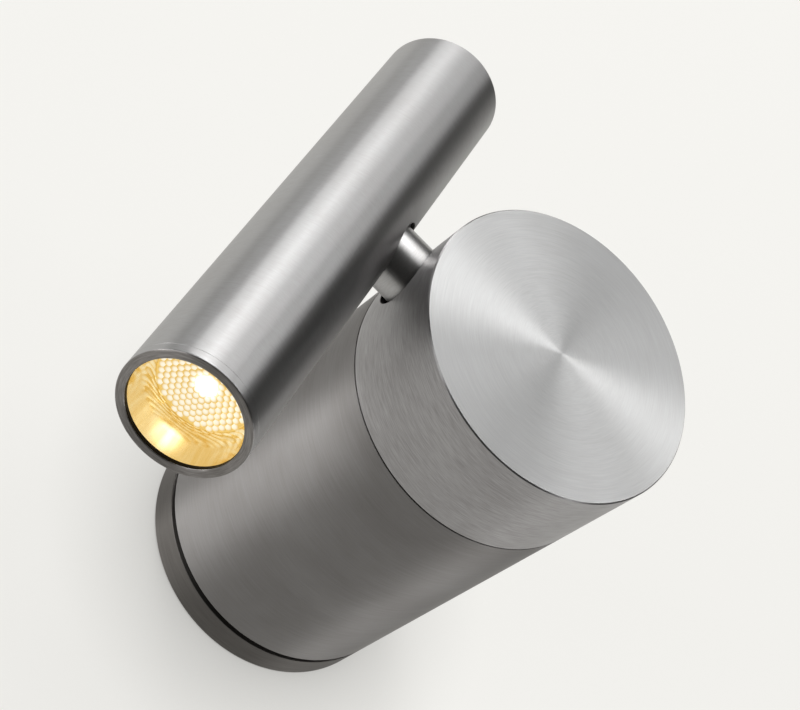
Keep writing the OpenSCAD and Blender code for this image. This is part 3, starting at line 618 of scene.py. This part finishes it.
class TUBELIGHT_OT_body(bpy.types.Operator):
    """Turn the body shell with its screw holes, and set its grub screws."""

    bl_idname = "tube_light.body"
    bl_label = "Body shell and grub screws"

    def execute(self, context):
        s = context.scene.tube_light_sizes
        back, front = depth("body_shell")
        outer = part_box("body_shell")[1].x
        bore = outer - s.shell_wall
        shell = lathe("body_shell_turned", [
            (bore, back, s.edge), (outer, back, s.edge), (outer, front, s.edge),
            (bore - s.lip, front, s.edge), (bore - s.lip, front - s.lip), (bore, front - s.lip)],
            BODY_AXIS, s.segments)
        angles = [math.radians(a) for a in GRUB_ANGLES]
        places = [BODY_AXIS @ Matrix.Rotation(a, 4, "Z")
                  @ Matrix.Translation((0, 0, s.grub_depth))
                  @ Matrix.Rotation(math.radians(90), 4, "Y") for a in angles]
        shell = bored(shell, [rod(s.grub_radius * 1.025, bore - s.lip, outer + s.lip, p)
                              for p in places])
        # Satin-brushed by hand: wide soft bands along the body, with slightly cloudy patches
        finish = steel(context, "Satin-brushed stainless steel, body", BODY_AXIS,
                       roughness=0.58, cloud=0.45)
        new_piece("body_shell_turned", shell, "base", "satin_steel", finish, "body_shell")

        screw_place = (Matrix.Translation((outer - s.grub_sink, 0, 0))
                       @ Matrix.Rotation(math.radians(90), 4, "Y"))
        reach = s.shell_wall + s.base_wall - s.grub_sink
        corner = s.grub_radius / 2 / math.cos(math.pi / 6)
        screw = lathe("body_grub_screws_set", [
            (0, -reach), (s.grub_radius, -reach, s.face_edge), (s.grub_radius, 0, s.edge), (0, 0)],
            screw_place, 48)
        socket = lathe("socket", [(0, -reach * 0.55), (corner, -reach * 0.55), (corner, s.lip),
                                  (0, s.lip)], screw_place, 6)
        screw = bored(screw, [socket])
        # Blackened hardened steel: dark, with a dull sheen on the socket's edges
        black = plain_finish("Black-oxide alloy steel", linear("#4A4845"), linear("#2E2C2A"), 0.4,
                             0.3 * MM, 0.004 * MM, Metallic=1)
        screws = applied(screw, ("NODES", {
            "node_group": screw_ring_tree(), "input:Count": 2, "input:First angle": angles[0],
            "input:Step angle": angles[1] - angles[0], "input:Height": s.grub_depth,
            "input:Finish": black}))
        screws.transform(BODY_AXIS)
        new_piece("body_grub_screws_set", screws, "base", "screw_steel", black,
                  "body_grub_screws")
        return {"FINISHED"}


class TUBELIGHT_OT_head(bpy.types.Operator):
    """Turn the head with its closed front face and the hole that the arm goes into."""

    bl_idname = "tube_light.head"
    bl_label = "Turning head"

    def execute(self, context):
        s = context.scene.tube_light_sizes
        back, front = depth("head_shell")
        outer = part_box("head_shell")[1].x
        bore = outer - s.head_wall
        shell = lathe("head_shell_turned", [
            (bore, back), (outer, back, s.edge), (outer, front - s.chamfer),
            (outer - s.chamfer, front), (0, front),
            (0, front - s.head_wall), (bore, front - s.head_wall, s.face_edge)],
            BODY_AXIS, s.segments)
        hole = rod(s.arm_radius + s.hole_gap, bore - s.head_wall, outer + s.lip, ARM_AXIS,
                   s.segments // 2)
        shell = bored(shell, [hole])
        colours = context.scene.tube_light_colours
        rim = (outer, front, 1.2 * s.chamfer, 0.3)
        # Brushed round its side: short fine strokes, and light spread evenly over the side
        # Its hollow faces, the arm hole's wall and its back face are painted near black: painted shade
        side = steel(context, "Brushed stainless steel, head side", BODY_AXIS,
                     light=colours.side_steel, dark=colours.side_steel_dark, roughness=0.38,
                     streak=9, anisotropy=0.8, edges=[rim],
                     inside=(outer - s.edge, front - s.head_wall))
        # Faced on a lathe: faint fine arcs, and light that fans out from the middle
        face = steel(context, "Lathe-faced stainless steel, head front", BODY_AXIS,
                     light=colours.head_steel, dark=colours.head_steel_dark, roughness=0.47,
                     edges=[rim])
        piece = new_piece("head_shell_turned", shell, "head", "turned_steel", side, "head_shell")
        piece.data.materials.append(face)
        for polygon in piece.data.polygons:
            if -polygon.center.y > front - s.edge / 10:
                polygon.material_index = 1
        return {"FINISHED"}


class TUBELIGHT_OT_arm(bpy.types.Operator):
    """Turn the short arm that carries the tube."""

    bl_idname = "tube_light.arm"
    bl_label = "Swivel arm"

    def execute(self, context):
        s = context.scene.tube_light_sizes
        low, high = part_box("arm")
        tip, root = -low.x, -high.x
        washer = -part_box("arm_washer")[0].x
        arm = lathe("arm_turned", [
            (s.arm_bore, root, s.edge), (s.arm_journal, root, s.edge), (s.arm_journal, washer),
            (s.arm_radius, washer, s.edge), (s.arm_radius, tip, s.edge),
            (s.arm_bore, tip, s.edge)], ARM_AXIS, s.segments // 2)
        colours = context.scene.tube_light_colours
        # Fine-polished steel: narrow bright and dark bands along the arm, almost without lines
        finish = steel(context, "Fine-polished stainless steel, arm", ARM_AXIS,
                       light=colours.bright_steel, dark=colours.bright_steel_dark,
                       roughness=0.42, spread=0.02, anisotropy=0.7, relief=0.0005 * MM)
        new_piece("arm_turned", arm, "spot", "polished_steel", finish, "arm")
        return {"FINISHED"}


class TUBELIGHT_OT_spot(bpy.types.Operator):
    """Turn the spot's tube, its front ring and its rear cap."""

    bl_idname = "tube_light.spot"
    bl_label = "Spot tube"

    def execute(self, context):
        s = context.scene.tube_light_sizes
        place = spot_axis(s.swing)
        radius, bore = s.tube_radius, s.tube_radius - s.tube_wall
        front, rear = -s.tube_front, s.tube_rear
        tube = lathe("spot_tube_brushed", [
            (bore, front), (radius, front, 0.4 * s.edge), (radius, rear, s.edge),
            (bore, rear, s.edge)], place, s.segments)
        tube_side = -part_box("spot_tube")[1].x
        hole = rod(s.arm_radius + s.hole_gap, tube_side - s.lip, tube_side + radius, ARM_AXIS,
                   s.segments // 2)
        tube = bored(tube, [hole])
        colours = context.scene.tube_light_colours
        # Brushed round the tube: a bright and a dark band along it, broken by fine short lines
        # Its bore and the arm hole's wall are painted near black: painted shade in the tube
        finish = steel(context, "Brushed stainless steel tube", place, roughness=0.4, streak=6,
                       light=colours.head_steel, dark=colours.steel,
                       anisotropy=0.8, inside=(radius - s.edge, rear - s.lip))
        new_piece("spot_tube_brushed", tube, "spot", "satin_steel", finish, "spot_tube")

        opening = radius - s.ring_width
        tip = front - s.ring_depth
        behind = front + s.ring_spigot_depth
        spigot = s.ring_spigot + s.ring_spigot_wall
        bezel = lathe("front_bezel_turned", [
            (opening, tip, s.face_edge), (radius, tip, s.face_edge), (radius, front, 0.4 * s.edge),
            (spigot, front), (spigot, behind, s.edge), (s.ring_spigot, behind, s.edge),
            (s.ring_spigot, tip + s.ring_lip), (opening, tip + s.ring_lip)], place, s.segments)
        # Both of the ring's finishes paint the lip's inner edge near black, as painted shade in the gap between
        # ring and reflector
        # Brushed like the tube, whose bands run on over it
        ring_side = steel(context, "Brushed stainless steel, front ring side", place,
                          roughness=0.4, streak=6, light=colours.head_steel, dark=colours.steel,
                          anisotropy=0.8, inside=(opening + s.cap_gap, rear))
        # Turned and unpolished: darker than the tube, so that it frames the lit mouth
        ring_face = steel(context, "Turned stainless steel, front ring face", place,
                          roughness=0.42, light=colours.steel_dark, dark=colours.rim_steel_dark,
                          inside=(opening + s.cap_gap, rear))
        ring = new_piece("front_bezel_turned", bezel, "spot", "satin_steel", ring_side,
                         "front_bezel")
        ring.data.materials.append(ring_face)
        for polygon in ring.data.polygons:
            if (place.inverted() @ polygon.center).z < tip + s.face_edge / 2:
                polygon.material_index = 1

        cap_radius = bore - s.cap_gap
        high = rear - s.cap_sink
        cap = lathe("rear_cap_turned", [
            (0, high), (0, high - s.cap_depth), (cap_radius, high - s.cap_depth, s.edge),
            (cap_radius, high, s.edge)], place, s.segments)
        # Turned on a lathe: fine circles, and light that fans out from the middle
        cap_finish = steel(context, "Lathe-turned stainless steel, rear cap", place)
        new_piece("rear_cap_turned", cap, "spot", "turned_steel", cap_finish, "rear_cap")
        return {"FINISHED"}


class TUBELIGHT_OT_optics(bpy.types.Operator):
    """Shape the golden reflector and the lit honeycomb lens."""

    bl_idname = "tube_light.optics"
    bl_label = "Reflector and lens"

    def execute(self, context):
        s = context.scene.tube_light_sizes
        colours = context.scene.tube_light_colours
        place = spot_axis(s.swing)
        opening, throat, outer = s.reflector_opening, s.reflector_throat, s.reflector_outer
        front = s.ring_lip - s.ring_depth - s.tube_front
        rear = front + s.reflector_depth
        curve, steps = [], 12
        for step in range(steps + 1):
            share = step / steps
            bulge = s.reflector_bulge * math.sin(math.pi * share)
            curve.append((opening + (throat - opening) * share + bulge,
                          front + (rear - front) * share))
        reflector = lathe("reflector_coated", curve + [(outer, rear), (outer, front)], place,
                          s.segments)
        # Vacuum-coated gold: nearly a mirror, so the lens shows again in it as a warm glow, and
        # clearest next to it. The moulding under the coat is uneven over some 14 mm
        gold = turned_metal("Vacuum-coated gold on moulded plastic", place, colours.gold,
                            colours.gold_dark, roughness=0.17, spread=0.02, grain=14 * MM,
                            streak=9, anisotropy=0, relief=0.002 * MM, cloud=0.6,
                            edges=[(throat, rear, 4 * MM, 0.085)])
        new_piece("reflector_coated", reflector, "spot", "gold_reflector", gold, "reflector")

        back = rear + s.lens_depth
        ground = rear + s.cell_height
        disc = lathe("honeycomb_lens_lit", [
            (0, back), (outer, back, s.edge), (outer, rear, s.edge), (throat, rear),
            (throat, ground), (0, ground)], Matrix.Identity(4), s.segments // 2)
        # Clear acrylic lit from behind: pale domes in gold outlines of painted shade round one white hot spot
        glow = lens_glow("Clear moulded acrylic, lit warm white", place, colours.glow_rim,
                         colours.glow, rear)
        lens = applied(disc, ("NODES", {
            "node_group": honeycomb_tree(), "input:Pitch": s.cell_pitch,
            "input:Height": s.cell_height, "input:Radius": throat, "input:Front": ground,
            "input:Columns": s.lens_columns, "input:Finish": glow}))
        lens.transform(place)
        new_piece("honeycomb_lens_lit", lens, "spot", "lens_plastic", glow, "honeycomb_lens")
        return {"FINISHED"}


METAL = {"Metallic": 1}
# Slot, finish, lighter and darker colour, roughness, grain and relief in millimetres, constants
INNER_FINISHES = (
    # Bright and faintly cloudy
    ("screw_steel", "Zinc-plated steel", "#B4B3B0", "#989793", 0.35, 0.5, 0.005, METAL),
    # Darker than the screws, with a bluish tinge from hardening
    ("spring_steel", "Hardened spring steel", "#77777A", "#55565A", 0.35, 0.4, 0.004, METAL),
    # Pale, with a soft sheen
    ("plain_aluminium", "Milled aluminium", "#D6D8DA", "#BEC0C3", 0.38, 0.3, 0.005, METAL),
    # Warm yellow with clear highlights
    ("turned_brass", "Turned brass", "#D9B667", "#B8934A", 0.28, 0.3, 0.004, METAL),
    # Nearly black, with a satin skin
    ("black_plastic", "Moulded black PBT", "#242426", "#161618", 0.5, 0.3, 0.01, {}),
    # Off-white, with a smooth skin
    ("white_plastic", "Moulded white polycarbonate", "#E9E9E4", "#DADAD3", 0.4, 0.4, 0.008, {}),
    # Milky, so that its thin edges look soft
    ("nylon", "Natural nylon", "#EDE9DC", "#DCD6C4", 0.45, 0.5, 0.008,
     {"Subsurface_Weight": 0.1}),
    # Cream and dull, like cloth
    ("lead_sleeve", "Silicone sleeving", "#E0DACB", "#CFC7B3", 0.5, 0.4, 0.01, {}),
    # Plain brown with a light sheen along the core
    ("brown_wire", "Extruded brown PVC", "#6B4A30", "#553822", 0.42, 0.4, 0.006, {}),
    # See-through with sharp highlights
    ("clear_plastic", "Clear polycarbonate", "#F2F5F7", "#E6EBEE", 0.06, 0.6, 0.001,
     {"Transmission_Weight": 0.9}),
    # A dull yellow square
    ("chip_yellow", "Phosphor-coated chip", "#F4D35E", "#E8BE3E", 0.6, 0.2, 0.01, {}),
    # White lacquer with a clear gloss
    ("board_white", "White solder mask", "#F3F3EF", "#E4E4DE", 0.3, 0.5, 0.004, {}),
    # Grey and quite matt
    ("pad_grey", "Silicone thermal pad", "#9AA3AD", "#858E98", 0.65, 0.3, 0.01, {}),
)


class TUBELIGHT_OT_inner_finishes(bpy.types.Operator):
    """Give every piece that the frame brings its own finish."""

    bl_idname = "tube_light.inner_finishes"
    bl_label = "Finishes of the inner parts"

    def execute(self, context):
        finishes = {}
        for slot, name, light, dark, roughness, grain, relief, constants in INNER_FINISHES:
            finishes[slot] = plain_finish(name, linear(light), linear(dark), roughness,
                                          grain * MM, relief * MM, **constants)
        slots = {part["node"]: part["material_slot"] for part in frame["record"]["subparts"]}
        for name, node in frame["nodes"].items():
            if slots[name] in finishes:
                node.data.materials.clear()
                node.data.materials.append(finishes[slots[name]])
        return {"FINISHED"}


class TUBELIGHT_OT_stage(bpy.types.Operator):
    """Set up the pale wall, the camera, the soft boxes and the world."""

    bl_idname = "tube_light.stage"
    bl_label = "Wall, camera and light"

    def execute(self, context):
        scene = context.scene
        scene.view_settings.view_transform = "Standard"
        wall_data = bpy.data.meshes.new("wall")
        half, behind = 2.0, 0.5 * MM
        wall_data.from_pydata([(-half, behind, -half), (half, behind, -half), (half, behind, half),
                               (-half, behind, half)], [], [(0, 1, 2, 3)])
        wall = bpy.data.objects.new("wall", wall_data)
        scene.collection.objects.link(wall)
        wall_data.materials.append(self.wall_paint(scene.tube_light_colours.wall))

        camera_data = bpy.data.cameras.new("camera")
        camera_data.lens = CAMERA_LENS
        camera_data.sensor_width = 36
        camera_data.clip_start = 0.01
        camera = bpy.data.objects.new("camera", camera_data)
        turn = Matrix((CAMERA_RIGHT, CAMERA_UP, CAMERA_BACK)).transposed().to_4x4()
        camera.matrix_world = Matrix.Translation(CAMERA_PLACE) @ turn
        scene.collection.objects.link(camera)
        scene.camera = camera

        for name, azimuth, elevation, distance, width, power in SOFT_BOXES:
            lamp_data = bpy.data.lights.new(name, "AREA")
            lamp_data.shape = "DISK"
            lamp_data.size = width
            lamp_data.energy = power
            lamp = bpy.data.objects.new(name, lamp_data)
            a, e = math.radians(azimuth), math.radians(elevation)
            outward = Vector((math.sin(a) * math.cos(e), -math.cos(a) * math.cos(e), math.sin(e)))
            lamp.matrix_world = (Matrix.Translation(Vector(AIM_POINT) + outward * distance)
                                 @ outward.to_track_quat("Z", "Y").to_matrix().to_4x4())
            scene.collection.objects.link(lamp)

        world = bpy.data.worlds.new("studio")
        world.use_nodes = True
        world.node_tree.nodes.clear()
        glow = add(world.node_tree, "ShaderNodeBackground", {0: linear(WORLD_GREY),
                                                             1: WORLD_STRENGTH})
        add(world.node_tree, "ShaderNodeOutputWorld", {0: glow.outputs[0]})
        scene.world = world
        return {"FINISHED"}

    def wall_paint(self, paint):
        """Matt pale paint: shown at its own colour, with soft shadows, and open from behind."""
        roller_grain, roller_relief = 1.1 * MM, 0.02 * MM
        nook_size, nook_share, own_share = 28 * MM, 0.65, 0.82
        material, tree, shader = new_material("Rolled matt wall paint")
        here = add(tree, "ShaderNodeTexCoord").outputs["Object"]
        roller = add(tree, "ShaderNodeTexNoise", {"Vector": here, "Scale": 1 / roller_grain,
                                                  "Detail": 2})
        bump = add(tree, "ShaderNodeBump", {"Height": roller.outputs[0], "Strength": 1,
                                            "Distance": roller_relief})
        shader.inputs["Base Color"].default_value = paint
        shader.inputs["Roughness"].default_value = 0.9
        tree.links.new(bump.outputs[0], shader.inputs["Normal"])
        rays = add(tree, "ShaderNodeLightPath").outputs
        # The paint darkens close to the base, as in soft light from all round
        nook = add(tree, "ShaderNodeAmbientOcclusion", {"Color": paint, "Distance": nook_size})
        seen = add(tree, "ShaderNodeMath", {0: rays["Is Camera Ray"], 1: nook_share},
                   operation="MULTIPLY")
        deep = add(tree, "ShaderNodeMix", {0: seen.outputs[0], 6: paint,
                                           7: nook.outputs["Color"]}, data_type="RGBA")
        shown = add(tree, "ShaderNodeEmission", {0: deep.outputs[2], 1: 1.0})
        some = add(tree, "ShaderNodeMath", {0: rays["Is Camera Ray"], 1: rays["Is Glossy Ray"]},
                   operation="MAXIMUM")
        each = add(tree, "ShaderNodeMath", {0: some.outputs[0], 1: rays["Is Transmission Ray"]},
                   operation="MAXIMUM")
        part = add(tree, "ShaderNodeMath", {0: each.outputs[0], 1: own_share},
                   operation="MULTIPLY")
        front = add(tree, "ShaderNodeMixShader", {0: part.outputs[0], 1: shader.outputs[0],
                                                  2: shown.outputs[0]})
        side = add(tree, "ShaderNodeNewGeometry").outputs["Backfacing"]
        clear = add(tree, "ShaderNodeBsdfTransparent")
        both = add(tree, "ShaderNodeMixShader", {0: side, 1: front.outputs[0],
                                                 2: clear.outputs[0]})
        output = next(n for n in tree.nodes if n.type == "OUTPUT_MATERIAL")
        tree.links.new(both.outputs[0], output.inputs["Surface"])
        return material


OPERATORS = (TUBELIGHT_OT_stage, TUBELIGHT_OT_wall_base, TUBELIGHT_OT_body, TUBELIGHT_OT_head,
             TUBELIGHT_OT_arm, TUBELIGHT_OT_spot, TUBELIGHT_OT_optics,
             TUBELIGHT_OT_inner_finishes)


class TUBELIGHT_PT_panel(bpy.types.Panel):
    """Lists the sizes, the colours and the steps."""

    bl_label = "Tube wall light"
    bl_space_type = "VIEW_3D"
    bl_region_type = "UI"
    bl_category = "Tube light"

    def draw(self, context):
        for group in (context.scene.tube_light_sizes, context.scene.tube_light_colours):
            for name in group.__annotations__:
                self.layout.prop(group, name)
        for step in OPERATORS:
            self.layout.operator(step.bl_idname)


CLASSES = (TubeLightSizes, TubeLightColours) + OPERATORS + (TUBELIGHT_PT_panel,)


def register():
    """Registers the classes and hangs the sizes and colours on the scene."""
    for item in CLASSES:
        bpy.utils.register_class(item)
    bpy.types.Scene.tube_light_sizes = PointerProperty(type=TubeLightSizes)
    bpy.types.Scene.tube_light_colours = PointerProperty(type=TubeLightColours)


def unregister():
    """Takes all of that away again."""
    del bpy.types.Scene.tube_light_colours
    del bpy.types.Scene.tube_light_sizes
    for item in reversed(CLASSES):
        bpy.utils.unregister_class(item)


def main():
    """Makes the stage and every piece."""
    register()
    for step in OPERATORS:
        group, name = step.bl_idname.split(".")
        if getattr(getattr(bpy.ops, group), name)() != {"FINISHED"}:
            raise RuntimeError(f"{step.bl_idname} didn't finish")


if __name__ == "__main__":
    main()
